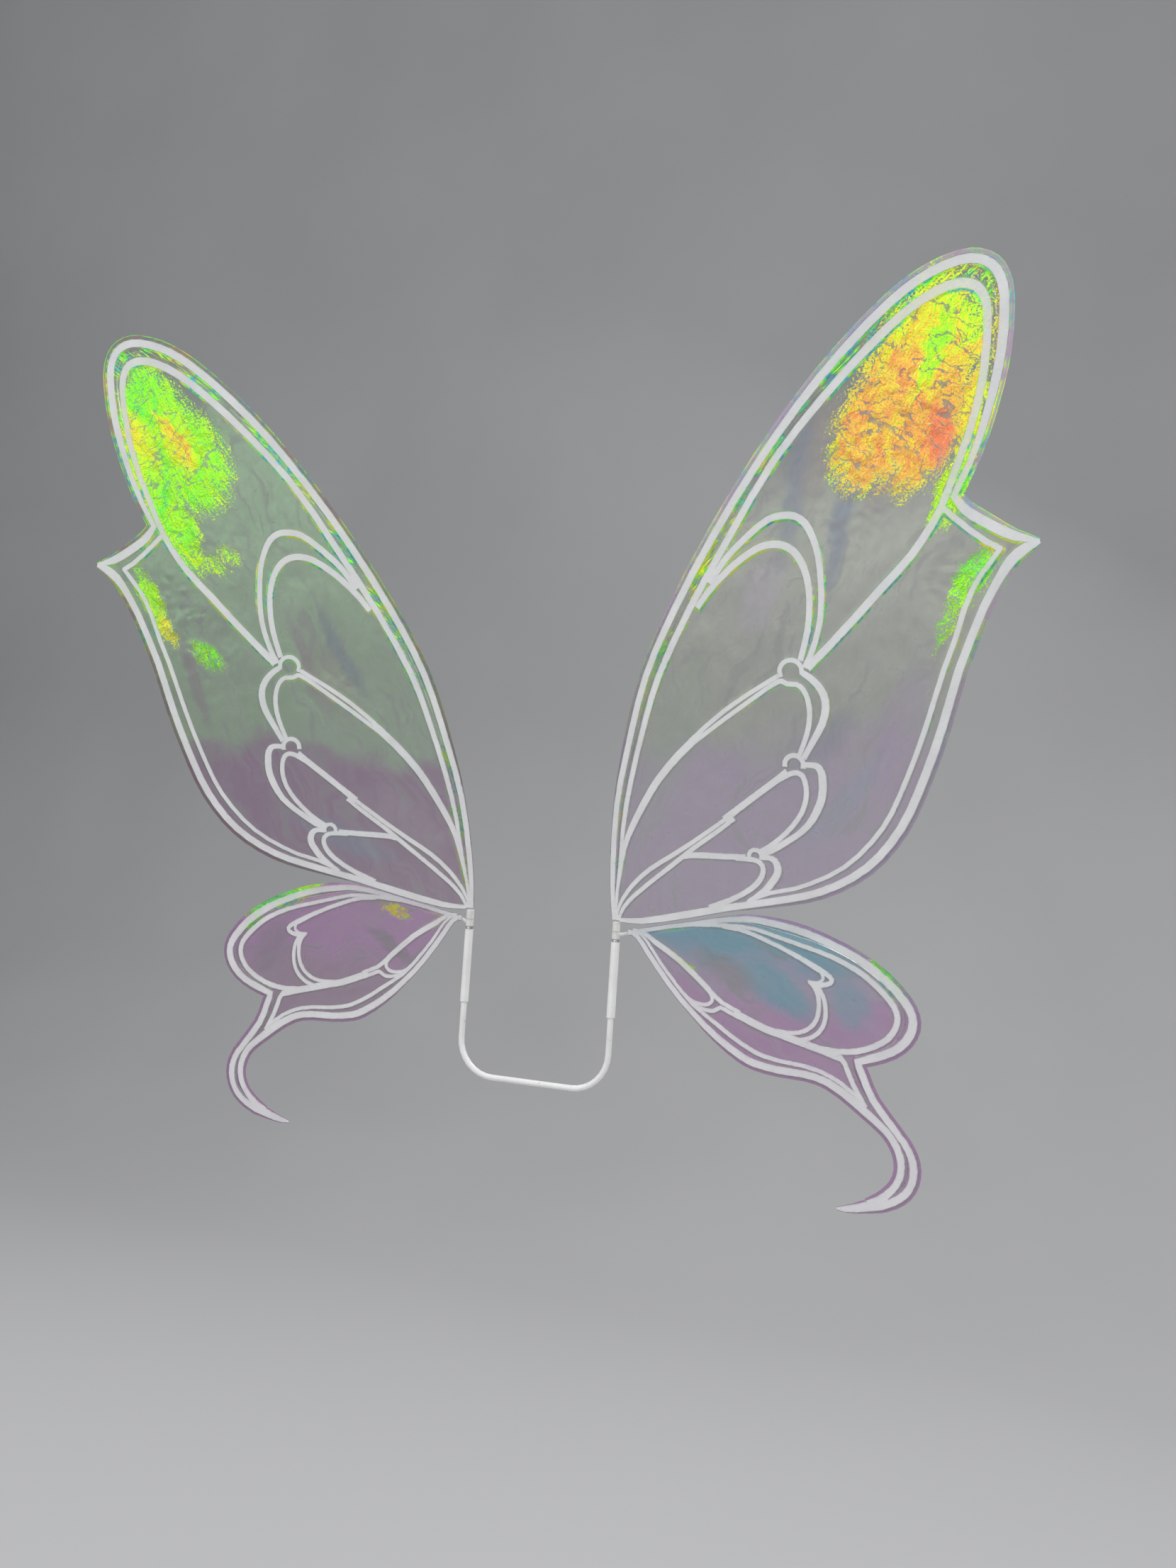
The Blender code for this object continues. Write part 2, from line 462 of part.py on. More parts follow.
def wing(prefix, side, veins, edge, rule, wire, setting, finishes, post_empty):
    """One wing: rear film, vein sheet, wire and front film, as flat layers on the hinge's empty."""
    hinge = empty(
        prefix + "_hinge", (0, 0, ROOT_Z),
        (math.radians(setting["lean"]), 0, -side * math.radians(setting["sweep"])), post_empty)
    middle = -setting["offset"]
    vein_low, vein_high = middle - VEIN / 2, middle + VEIN / 2
    wire_y = vein_high + GAP + WIRE_RADIUS
    front = wire_y + WIRE_RADIUS + GAP
    film = film_outlines(veins, edge, rule)
    strokes = [outline_of(stations, CURVE_TOLERANCE) for stations in veins.values()]
    place(prefix + "_veins", sheet_mesh(prefix, strokes, side, vein_low, vein_high, False),
          finishes["vein"], hinge)
    rear = vein_low - GAP
    place(prefix + "_rear_film", sheet_mesh(prefix, film, side, rear - FILM, rear, True),
          finishes["film"], hinge)
    place(prefix + "_front_film", sheet_mesh(prefix, film, side, front, front + FILM, True),
          finishes["film"], hinge)
    depths = [setting["entry"]] + [0.0] * (len(wire) - 1)
    route = smooth_curve([(u, v, depth) for (u, v), depth in zip(wire, depths)], FILM_TOLERANCE)
    rod(prefix + "_wire",
        [(side * (p.x * MM + ROOT_OUTBOARD), wire_y + p.z, p.y * MM) for p in route],
        WIRE_RADIUS, WIRE_ROUNDNESS, finishes["steel"], hinge)


def main():
    clear_scene()
    finishes = {
        "film": material("iridescent_film", (0.62, 0.66, 0.64), 0.12, transmission=0.7, alpha=0.35),
        "vein": material("white_vein_sheet", (0.74, 0.74, 0.72), 0.45),
        "steel": material("spring_wire", (0.55, 0.55, 0.56), 0.3, metallic=1.0),
        "rod": material("white_coated_rod", (0.82, 0.82, 0.80), 0.4),
        "tape": material("white_binding_tape", (0.80, 0.80, 0.78), 0.6),
    }
    base_frame(finishes["rod"])
    for side_name, side in (("right", 1), ("left", -1)):
        axis = empty(side_name + "_axis", (side * POST_X, 0, 0))
        socket(side_name + "_socket", finishes["rod"], axis)
        post(side_name + "_post", finishes["steel"], axis)
        knuckle(side_name + "_upper_knuckle", UPPER_KNUCKLE, finishes["tape"], axis, KNUCKLE_ROOF)
        knuckle(side_name + "_lower_knuckle", LOWER_KNUCKLE, finishes["tape"], axis)
        wing(side_name + "_upper", side, UPPER_VEINS, UPPER_EDGE, UPPER_MARGIN, UPPER_WIRE,
             UPPER_SET, finishes, axis)
        wing(side_name + "_lower", side, LOWER_VEINS, LOWER_EDGE, LOWER_MARGIN, LOWER_WIRE,
             LOWER_SET, finishes, axis)


main()
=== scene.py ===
"""The looks of the fairy wings: crinkled iridescent film over white vein sheets, wires, posts and frame.

Everything is in metres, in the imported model's frame. A wing's own plane has u outboard from its post
and v up the plane. The film pieces are built in that plane and set in place by the wing's matrix.
"""

import math

import bpy
import numpy as np
from mathutils import Matrix, Vector, noise
from mathutils.geometry import delaunay_2d_cdt
from mathutils.kdtree import KDTree


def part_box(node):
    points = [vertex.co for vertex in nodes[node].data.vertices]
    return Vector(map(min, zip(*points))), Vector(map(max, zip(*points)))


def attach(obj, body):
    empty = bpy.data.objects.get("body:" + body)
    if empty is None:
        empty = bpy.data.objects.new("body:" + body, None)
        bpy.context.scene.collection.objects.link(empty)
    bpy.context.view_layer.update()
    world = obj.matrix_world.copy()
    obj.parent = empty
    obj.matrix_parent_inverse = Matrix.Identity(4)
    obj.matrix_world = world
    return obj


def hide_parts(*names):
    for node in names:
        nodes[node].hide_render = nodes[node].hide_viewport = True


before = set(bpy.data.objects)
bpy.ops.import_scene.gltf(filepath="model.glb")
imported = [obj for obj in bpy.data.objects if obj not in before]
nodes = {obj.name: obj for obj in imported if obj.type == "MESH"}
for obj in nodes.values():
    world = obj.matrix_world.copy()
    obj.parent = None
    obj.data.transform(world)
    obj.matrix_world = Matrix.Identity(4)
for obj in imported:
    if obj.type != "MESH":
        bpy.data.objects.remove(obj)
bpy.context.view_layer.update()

# The wings' planes, as in the solids: degrees.
SWEEP = {"upper": 10.5, "lower": 4.0}
LEAN = {"upper": 15.0, "lower": 12.2}
SIDES = {"right": 1, "left": -1}
ROOT_HEIGHT = 0.135

# Film meshes.
EDGE_STEP = 0.0024           # along the outline and along the veins' edges
GRID_STEP = 0.0027           # between points on the open film
HUG_ROWS = (-0.0008, 0.0006, 0.0013, 0.0023)   # rows of points beside a vein's edge
HUG_REACH = 0.0019           # the film leaves the vein's face and reaches its own level over this
RIM_REACH = 0.0016           # the two films close on each other over this at their cut edge

# Levels of a film out of the vein sheet's middle plane.
OVER_VEIN = 0.00034
OPEN_LEVEL = 0.00008
RIM_LEVEL = 0.00005
WIRE_RISE = 0.00150
WIRE_STEP = 0.0005           # between the points sampled along a wire
WIRE_REACH = (0.0005, 0.0027)
# Wrinkles: the height of swells, streaks and bunched creases, and where the film is free to wrinkle.
SWELL, RIPPLE, BUNCH = 0.0006, 0.00022, 0.0006
FREE_FROM_VEIN, FREE_FROM_RIM = (0.001, 0.012), (0.0, 0.006)
# The painted glints and painted shade beside each vein are strongest on this side.
LIT_SIDE = (0.35, -0.94)     # the side of a vein, outboard and up, on which the film's fold glints

# The camera stands behind the wearer, a little to the right and below the wings' middle.
CAMERA_PLACE = (0.3504, -0.9095, 0.1868)
CAMERA_FORWARD = (-0.3292, 0.9422, 0.0632)
CAMERA_UP = (-0.0411, -0.0811, 0.9959)
LENS = 35.8
SENSOR = 36.0


def wing_matrix(side, wing):
    """The plane of a wing: x outboard to +X or -X, y out of the plane towards +Y, z up the plane."""
    turn = Matrix.Rotation(-SIDES[side] * math.radians(SWEEP[wing]), 4, "Z")
    tilt = Matrix.Rotation(math.radians(LEAN[wing]), 4, "X")
    low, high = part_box(side + "_post")
    return Matrix.Translation(((low.x + high.x) / 2, (low.y + high.y) / 2, ROOT_HEIGHT)) @ turn @ tilt


# ---------------------------------------------------------------- film meshes

def smooth(value, start, end):
    """0 at start, 1 at end, with a soft rise between them."""
    share = np.clip((value - start) / (end - start), 0.0, 1.0)
    return share * share * (3 - 2 * share)


def face_loops(node, to_plane):
    """The closed edge loops of a flat CAD node's rear face in its wing's plane, and its middle depth."""
    points = [to_plane @ v.co for v in node.data.vertices]
    numbers = {}
    same = [numbers.setdefault(tuple(round(c, 6) for c in p), len(numbers)) for p in points]
    where = [Vector(key) for key in numbers]
    middle = (min(p.y for p in where) + max(p.y for p in where)) / 2
    borders = {}
    for face in node.data.polygons:
        corners = [same[i] for i in face.vertices]
        if any(where[i].y > middle for i in corners):
            continue
        for a, b in zip(corners, corners[1:] + corners[:1]):
            if (b, a) in borders:
                borders.pop((b, a))
            else:
                borders[(a, b)] = True
    onward = {}
    for a, b in borders:
        onward.setdefault(a, []).append(b)
    loops = []
    while onward:
        start = here = next(iter(onward))
        loop = []
        while here in onward:
            loop.append(Vector((where[here].x, where[here].z)))
            step = onward[here].pop()
            if not onward[here]:
                onward.pop(here)
            here = step
            if here == start:
                break
        loops.append(loop)
    return [loop for loop in loops if len(loop) > 2], middle


def resampled(loop, step):
    """Points along the loop no more than a step apart, with its own corners kept."""
    found = []
    for a, b in zip(loop, loop[1:] + loop[:1]):
        count = max(1, math.ceil((b - a).length / step))
        found += [a.lerp(b, i / count) for i in range(count)]
    return found


def thinned(loop, least):
    """The loop without points that crowd the one before."""
    found = [loop[0]]
    for point in loop[1:]:
        if (point - found[-1]).length > least:
            found.append(point)
    return found


def inside(points, loops):
    """Which points lie inside an odd number of the loops."""
    x, y = points[:, 0], points[:, 1]
    odd = np.zeros(len(points), bool)
    for loop in loops:
        corners = np.array([(p.x, p.y) for p in loop])
        ends = np.roll(corners, -1, axis=0)
        for (ax, ay), (bx, by) in zip(corners, ends):
            if ay == by:
                continue
            between = (ay > y) != (by > y)
            odd ^= between & (x < (bx - ax) * (y - ay) / (by - ay) + ax)
    return odd


def tree_of(points):
    tree = KDTree(len(points))
    for i, p in enumerate(points):
        tree.insert((p[0], p[1], 0.0), i)
    tree.balance()
    return tree


def nearest(tree, points):
    return np.array([tree.find((x, y, 0.0))[2] for x, y in points])


def beside(loop, distance):
    """Points a distance to the right of each of the loop's points, which is outside a vein's edge."""
    found = []
    for i, point in enumerate(loop):
        along = loop[(i + 1) % len(loop)] - loop[i - 1]
        if along.length > 0:
            along.normalize()
            found.append(point + Vector((along.y, -along.x)) * distance)
    return found


def wire_points(node, to_plane):
    """Points all along the wire's mesh edges, in the wing's plane and its depth: x, y, z."""
    mesh = node.data
    where = [to_plane @ v.co for v in mesh.vertices]
    found = []
    for edge in mesh.edges:
        a, b = (where[i] for i in edge.vertices)
        count = max(1, math.ceil((b - a).length / WIRE_STEP))
        found += [a.lerp(b, i / count) for i in range(count)]
    return np.array(found)


class Wing:
    """A wing's flat layout, from its CAD nodes: triangulated points with their distances."""

    def __init__(self, side, wing):
        self.side, self.wing = side, wing
        self.prefix = side + "_" + wing
        self.matrix = wing_matrix(side, wing)
        to_plane = self.matrix.inverted()
        loops, self.middle = face_loops(nodes[self.prefix + "_veins"], to_plane)
        outline = face_loops(nodes[self.prefix + "_rear_film"], to_plane)[0]
        outline = thinned(resampled(max(outline, key=len), EDGE_STEP), EDGE_STEP / 4)
        fine = [resampled(loop, EDGE_STEP) for loop in loops]
        edge_points = [p for loop in [resampled(loop, EDGE_STEP / 3) for loop in loops] for p in loop]
        veins = tree_of(edge_points)
        rims = tree_of(resampled(outline, EDGE_STEP / 3))
        self.wire_points = wire_points(nodes[self.prefix + "_wire"], to_plane)
        wires = tree_of(self.wire_points[:, [0, 2]])
        extra = []
        for row in HUG_ROWS:
            near = np.array([p for loop in fine for p in beside(loop, row)])
            extra.append(near[nearest(veins, near) > abs(row) * 0.9])
        low, high = np.array(outline).min(axis=0), np.array(outline).max(axis=0)
        across = np.arange(low[0], high[0], GRID_STEP)
        rows = np.arange(low[1], high[1], GRID_STEP * 0.87)
        grid = np.array([
            (x + (j % 2) * GRID_STEP / 2, y) for j, y in enumerate(rows) for x in across])
        grid = grid[nearest(veins, grid) > HUG_ROWS[-1] + GRID_STEP / 2]
        spare = np.vstack(extra + [grid])
        spare = spare[inside(spare, [outline])]
        spare = spare[nearest(rims, spare) > EDGE_STEP / 3]
        points = [Vector(p) for p in outline]
        faces = [list(range(len(outline)))]
        edges = []
        for loop in fine:
            first = len(points)
            points += loop
            edges += [(first + i, first + (i + 1) % len(loop)) for i in range(len(loop))]
        points += [Vector(p) for p in spare]
        found, _, triangles, _, _, owners = delaunay_2d_cdt(points, edges, faces, 0, 1e-6)
        self.flat = np.array(found)
        self.triangles = [t for t, owner in zip(triangles, owners) if owner]
        over = inside(self.flat, loops)
        closest = np.array([veins.find((x, y, 0.0))[0][:2] for x, y in self.flat])
        outward = self.flat - closest
        distance = np.hypot(*outward.T)
        outward = outward / np.maximum(distance, 1e-6)[:, None]
        self.lit = outward @ np.array((LIT_SIDE[0] * SIDES[side], LIT_SIDE[1]))
        self.away = np.where(over, -distance, distance)
        self.rim = nearest(rims, self.flat)
        self.wire = nearest(wires, self.flat)
        corners = self.flat[np.array(self.triangles)]
        a, b = (corners[:, 1] - corners[:, 0]).T, (corners[:, 2] - corners[:, 0]).T
        self.area = float(np.abs(a[0] * b[1] - a[1] * b[0]).sum() / 2)


def crinkle(u, v, seed, patches):
    """The film's wrinkles out of plane at a place: soft swells, with sharp creases where it bunches."""
    place = Vector((u, v, seed))
    swell = noise.noise(place * 26.0)
    drift = Vector((noise.noise(place * 40.0), noise.noise(place * 40.0 + Vector((7, 3, 1))), 0.0))
    streak = noise.noise(Vector((u * 130.0, v * 34.0, seed)) + drift * 1.2)
    crease = 1.0 - abs(noise.noise(Vector((u * 110.0, v * 150.0, seed + 9.0)) + drift * 2.0)) * 2.2
    bunch = 0.0
    for centre_u, centre_v, reach, strength in patches:
        away = math.hypot(u - centre_u, v - centre_v) / reach
        bunch += strength * math.exp(-away * away)
    return SWELL * swell + RIPPLE * streak + BUNCH * bunch * max(crease, 0.0)


def film(layout, face, patches, seed):
    """One film: -1 is the rear one, towards -Y, and 1 the front one, which rises over the wire."""
    side = SIDES[layout.side]
    opened = smooth(layout.away, 0.0, HUG_REACH)
    level = OVER_VEIN + (OPEN_LEVEL - OVER_VEIN) * opened
    if face > 0:
        level = level + WIRE_RISE * (1 - smooth(layout.wire, *WIRE_REACH))
    closing = smooth(layout.rim, 0.0, RIM_REACH)
    level = RIM_LEVEL + (level - RIM_LEVEL) * closing
    free = smooth(layout.away, *FREE_FROM_VEIN) * smooth(layout.rim, *FREE_FROM_RIM)
    waves = np.array([
        crinkle(side * x, y, seed, patches) if share > 0 else 0.0
        for (x, y), share in zip(layout.flat, free)])
    depth = layout.middle + face * level + waves * free
    mesh = bpy.data.meshes.new(layout.prefix)
    points = [(x, y, z) for (x, z), y in zip(layout.flat, depth)]
    faces = [t if face > 0 else t[::-1] for t in layout.triangles]
    mesh.from_pydata(points, [], faces)
    # A band beside each vein, stronger on the lit side, carries the painted glints and painted shade there;
    # rim and wire_gap carry painted glints at the cut edge and over the wire.
    for name, values in (
            ("over_vein", 1 - smooth(layout.away, -0.0004, 0.0006)),
            ("vein_edge_glint_and_shade", smooth(layout.away, -0.0003, 0.0002) * (1 - smooth(layout.away, 0.0010, 0.0018))
             * (0.25 + 0.75 * smooth(layout.lit, -0.4, 0.5))),
            ("rim", 1 - smooth(layout.rim, 0.0003, 0.0013)),
            ("margin", (1 - smooth(layout.rim, 0.0030, 0.0044)) * smooth(layout.away, 0.0, 0.0005)),
            ("wire_gap", 1 - smooth(layout.wire, 0.0018, 0.0042))):
        mesh.attributes.new(name, "FLOAT", "POINT").data.foreach_set("value", values.astype(np.float32))
    mesh.shade_smooth()
    name = layout.prefix + ("_film_front" if face > 0 else "_film_rear")
    plane = np.array([(side * x, y, 0.0) for x, y in layout.flat], np.float32)
    mesh.attributes.new("plane", "FLOAT_VECTOR", "POINT").data.foreach_set("vector", plane.ravel())
    # The film's tilt, which shifts the hues and reach of the painted sheen and painted glints.
    facing = np.empty(len(mesh.vertices) * 3, np.float32)
    mesh.vertex_normals.foreach_get("vector", facing)
    facing = facing.reshape(-1, 3)
    upright = np.where(np.abs(facing[:, 1]) < 0.2, 0.2, facing[:, 1])
    tilt = np.stack((side * facing[:, 0] / upright, facing[:, 2] / upright, 0 * upright), axis=1)
    tilt = np.clip(tilt, -0.8, 0.8).astype(np.float32)
    mesh.attributes.new("tilt", "FLOAT_VECTOR", "POINT").data.foreach_set("vector", tilt.ravel())
    mesh.transform(layout.matrix)
    piece = bpy.data.objects.new(name, mesh)
    bpy.context.scene.collection.objects.link(piece)
    return piece


# ---------------------------------------------------------------- wound tape

TAPE_LAP = 0.0014            # along the sleeve from one turn of tape to the next
TAPE_STEP = 0.00018          # a lap's edge stands this proud of the turn below it
TAPE_SIDES = 48
TAPE_ROWS_PER_LAP = 7
KNUCKLE_BORE = 0.0017
KNUCKLE_ROOF = {"upper": 0.0020, "lower": 0.0}
# The tape on a lower wing's wire, from the knuckle out over the film's root.
ROOT_START, ROOT_END, ROOT_ROWS = 0.0031, 0.0098, 34
ROOT_RADII = (0.0016, 0.0011)


def lap(turned, along):
    """The height of the tape's face at a place on the sleeve: a saw, one tooth for each turn."""
    share = (along / TAPE_LAP + turned / math.tau) % 1.0
    return TAPE_STEP * (share if share < 0.88 else (1.0 - share) / 0.12 * 0.88)


def rings_piece(name, rings, looped):
    """A mesh through rings of points, capped at both ends unless the last joins the first."""
    count = len(rings[0])
    faces = []
    for j in range(len(rings) if looped else len(rings) - 1):
        here, onward = j * count, (j + 1) % len(rings) * count
        for i in range(count):
            k = (i + 1) % count
            faces.append((here + i, here + k, onward + k, onward + i))
    if not looped:
        faces += [tuple(range(count))[::-1], tuple((len(rings) - 1) * count + i for i in range(count))]
    mesh = bpy.data.meshes.new(name)
    mesh.from_pydata([p for ring in rings for p in ring], [], faces)
    mesh.shade_smooth()
    mesh.set_sharp_from_angle(angle=math.radians(50))
    piece = bpy.data.objects.new(name, mesh)
    bpy.context.scene.collection.objects.link(piece)
    return piece


def wound_knuckle(side, wing):
    """The taped sleeve round the post that carries a wing, in place of its plain CAD sleeve."""
    low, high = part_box(f"{side}_{wing}_knuckle")
    centre = (low + high) / 2
    radius = (high.x - low.x) / 2
    roof = KNUCKLE_ROOF[wing]
    turns = [math.tau * i / TAPE_SIDES for i in range(TAPE_SIDES)]

    def ring(r, z, taped=0.0):
        found = []
        for turned in turns:
            reach = r + taped * lap(turned, z)
            found.append((centre.x + reach * math.cos(turned), centre.y + reach * math.sin(turned), z))
        return found

    rows = math.ceil((high.z - low.z) / TAPE_LAP * TAPE_ROWS_PER_LAP)
    shoulder = TAPE_STEP * 2
    outside = [ring(radius - shoulder, low.z)]
    for j in range(rows + 1):
        z = low.z + shoulder + (high.z - low.z - 2 * shoulder) * j / rows
        outside.append(ring(radius - TAPE_STEP, z, 1.0))
    outside.append(ring(radius - shoulder, high.z))
    if roof:
        centre_r = 1e-5
        inner = [ring(centre_r, high.z - roof), ring(KNUCKLE_BORE, high.z - roof), ring(KNUCKLE_BORE, low.z)]
        rings = inner + outside + [ring(centre_r, high.z)]
    else:
        rings = [ring(KNUCKLE_BORE, high.z), ring(KNUCKLE_BORE, low.z)] + outside
    return rings_piece(f"{side}_{wing}_tape", rings, not roof)


def wound_root(layout):
    """Tape round a lower wing's wire between its knuckle and the root of its films."""
    side = SIDES[layout.side]
    points = layout.wire_points * (side, 1, 1)
    rings = []
    for j in range(ROOT_ROWS + 1):
        share = j / ROOT_ROWS
        u = ROOT_START + (ROOT_END - ROOT_START) * share
        middle = points[np.abs(points[:, 0] - u) < 2 * WIRE_STEP].mean(axis=0)
        rounded = math.sqrt(1 - max(0.0, (share - 0.92) / 0.08) ** 2 * 0.85)
        radius = (ROOT_RADII[0] + (ROOT_RADII[1] - ROOT_RADII[0]) * share) * rounded
        ring = []
        for i in range(TAPE_SIDES):
            turned = math.tau * i / TAPE_SIDES
            reach = radius + lap(turned, u)
            out, up = reach * math.cos(turned), reach * math.sin(turned)
            ring.append(layout.matrix @ Vector((side * u, middle[1] + out, middle[2] + up)))
        rings.append(ring if side > 0 else ring[::-1])
    return rings_piece(layout.prefix + "_root_tape", rings, False)


# ---------------------------------------------------------------- material helpers

def grey(shade):
    """A colour from one level, or the colour itself."""
    return shade if hasattr(shade, "__len__") else (shade, shade, shade)


class Nodes:
    """A material's node tree, with short calls for the nodes used here."""

    def __init__(self, name):
        self.material = bpy.data.materials.new(name)
        self.material.use_nodes = True
        self.tree = self.material.node_tree
        self.shader = self.tree.nodes["Principled BSDF"]

    def put(self, socket, value):
        if isinstance(value, bpy.types.NodeSocket):
            self.tree.links.new(value, socket)
        elif hasattr(value, "__len__") and len(value) == 3 and socket.type == "RGBA":
            socket.default_value = (*value, 1.0)
        else:
            socket.default_value = value

    def add(self, kind, **settings):
        made = self.tree.nodes.new(kind)
        for key, value in settings.items():
            setattr(made, key, value)
        return made

    def math(self, operation, a, b=0.0, c=0.0):
        made = self.add("ShaderNodeMath", operation=operation)
        for socket, value in zip(made.inputs, (a, b, c)):
            self.put(socket, value)
        return made.outputs[0]

    def vector(self, operation, a, b=(0, 0, 0)):
        made = self.add("ShaderNodeVectorMath", operation=operation)
        self.put(made.inputs[0], a)
        self.put(made.inputs[1], b)
        return made.outputs["Value" if operation == "LENGTH" else "Vector"]

    def noise(self, place, scale, detail=2.0, roughness=0.5, distortion=0.0):
        made = self.add("ShaderNodeTexNoise")
        self.put(made.inputs["Vector"], place)
        self.put(made.inputs["Scale"], scale)
        self.put(made.inputs["Detail"], detail)
        self.put(made.inputs["Roughness"], roughness)
        self.put(made.inputs["Distortion"], distortion)
        return made

    def ramp(self, value, stops, interpolation="LINEAR"):
        made = self.add("ShaderNodeValToRGB")
        made.color_ramp.interpolation = interpolation
        elements = made.color_ramp.elements
        while len(elements) < len(stops):
            elements.new(1.0)
        for element, (position, colour) in zip(elements, stops):
            element.position = position
            element.color = (*colour, 1.0)
        self.put(made.inputs[0], value)
        return made.outputs[0]

    def mix(self, share, a, b):
        made = self.add("ShaderNodeMix", data_type="RGBA")
        made.clamp_factor = True
        self.put(made.inputs[0], share)
        self.put(made.inputs[6], a)
        self.put(made.inputs[7], b)
        return made.outputs[2]

    def attribute(self, name):
        return self.add("ShaderNodeAttribute", attribute_name=name).outputs["Fac"]

    def span(self, value, low, high, to_low=0.0, to_high=1.0):
        made = self.add("ShaderNodeMapRange", interpolation_type="SMOOTHSTEP")
        for socket, number in zip(made.inputs, (value, low, high, to_low, to_high)):
            self.put(socket, number)
        return made.outputs[0]

    def bump(self, height, strength, distance):
        made = self.add("ShaderNodeBump")
        self.put(made.inputs["Strength"], strength)
        self.put(made.inputs["Distance"], distance)
        self.put(made.inputs["Height"], height)
        return made.outputs[0]

    def object_place(self):
        return self.add("ShaderNodeTexCoord").outputs["Object"]

    def greys(self, pattern, dark, light):
        """A pattern shown as two near greys, or as two near tints."""
        return self.ramp(pattern, [(0.3, grey(dark)), (0.7, grey(light))])

    def set(self, name, value):
        self.put(self.shader.inputs[name], value)


# ---------------------------------------------------------------- film material

# Reflected colours of the film, linear.
LILAC = (0.50, 0.34, 0.58)
PLUM = (0.28, 0.06, 0.27)
ROSE = (0.42, 0.22, 0.40)
SAGE = (0.45, 0.49, 0.38)
MEADOW = (0.32, 0.54, 0.29)
SMOKE = (0.15, 0.17, 0.17)
SAND = (0.34, 0.27, 0.22)
BLUE = (0.06, 0.13, 0.30)
TEAL = (0.03, 0.40, 0.58)
# Green to coral are the colours of the painted sheen and painted glints.
GREEN = (0.16, 0.95, 0.06)
LIME = (0.48, 0.98, 0.04)
YELLOW = (0.88, 0.86, 0.04)
ORANGE = (0.92, 0.46, 0.10)
CORAL = (0.92, 0.24, 0.12)
MAROON = (0.24, 0.07, 0.16)
ORCHID = (0.54, 0.21, 0.56)
# A painted shade, laid as a dark line beside the veins.
PAINTED_SHADE = (0.05, 0.05, 0.06)

# The colours that the painted sheen runs through as it warms: a lamp's reflection painted into the film.
HEAT = [(0.0, TEAL), (0.12, GREEN), (0.38, LIME), (0.52, YELLOW), (0.72, ORANGE), (0.9, CORAL)]
# The colours of the painted glints, thin lines of a lamp's reflection painted along veins, wires and cut
# edges.
PAINTED_GLINTS = [(0.0, GREEN), (0.2, LIME), (0.34, YELLOW), (0.46, LIME), (0.58, GREEN), (0.7, TEAL),
          (0.8, GREEN), (0.92, LIME), (1.0, YELLOW)]

# Stops up each wing, as a share of its height over the root.
TINTS = {
    "right_upper": [(0.0, LILAC), (0.27, LILAC), (0.36, SAGE), (0.62, SAGE), (0.8, SMOKE), (1.0, SMOKE)],
    "left_upper": [(0.0, PLUM), (0.25, PLUM), (0.30, MEADOW), (0.6, MEADOW), (0.88, MEADOW), (1.0, SMOKE)],
    "right_lower": [(0.0, ORCHID), (0.45, ORCHID), (0.66, ORCHID), (0.76, LILAC), (0.9, TEAL), (1.0, TEAL)],
    "left_lower": [(0.0, ORCHID), (0.45, ROSE), (0.62, ROSE), (0.80, ORCHID), (0.92, ORCHID), (1.0, ROSE)],
}

# Painted sheen, a lamp's reflection painted into the film's colour where it bunches: centre u, v,
# half-lengths along and across, turn in degrees, how warm its colour is from 0 to 1, strength.
PAINTED_SHEEN = {
    "right_upper": [
        (0.250, 0.392, 0.074, 0.044, 62, 0.52, 1.0), (0.224, 0.366, 0.056, 0.032, 58, 0.70, 1.0),
        (0.254, 0.360, 0.050, 0.026, 64, 0.66, 1.0), (0.262, 0.352, 0.022, 0.009, 76, 0.95, 0.9),
        (0.280, 0.350, 0.060, 0.008, 76, 0.50, 1.0), (0.268, 0.318, 0.030, 0.009, 66, 0.36, 1.0),
        (0.262, 0.408, 0.030, 0.008, 66, 0.34, 0.8), (0.284, 0.262, 0.028, 0.011, 60, 0.20, 0.75),
        (0.268, 0.235, 0.032, 0.007, 66, 0.22, 0.55)],
    "left_upper": [
        (0.260, 0.388, 0.064, 0.032, 66, 0.22, 1.0), (0.240, 0.366, 0.052, 0.040, 52, 0.30, 1.0),
        (0.248, 0.378, 0.028, 0.013, 62, 0.58, 0.9), (0.276, 0.358, 0.062, 0.014, 70, 0.56, 1.0),
        (0.254, 0.320, 0.056, 0.017, 62, 0.26, 1.0), (0.226, 0.286, 0.024, 0.009, 20, 0.40, 0.6),
        (0.206, 0.292, 0.016, 0.008, 30, 0.50, 0.55), (0.277, 0.250, 0.042, 0.010, 64, 0.32, 0.8),
        (0.262, 0.226, 0.020, 0.008, 60, 0.60, 0.6), (0.228, 0.208, 0.020, 0.011, 40, 0.16, 0.62)],
    "right_lower": [(0.214, -0.022, 0.026, 0.005, -52, 0.2, 0.7),
                    (0.060, -0.030, 0.018, 0.004, -38, 0.5, 0.6)],
    "left_lower": [(0.180, -0.001, 0.050, 0.006, -24, 0.2, 0.9),
                   (0.204, -0.018, 0.020, 0.006, -50, 0.12, 0.8),
                   (0.070, -0.004, 0.018, 0.007, 20, 0.6, 0.6)],
}

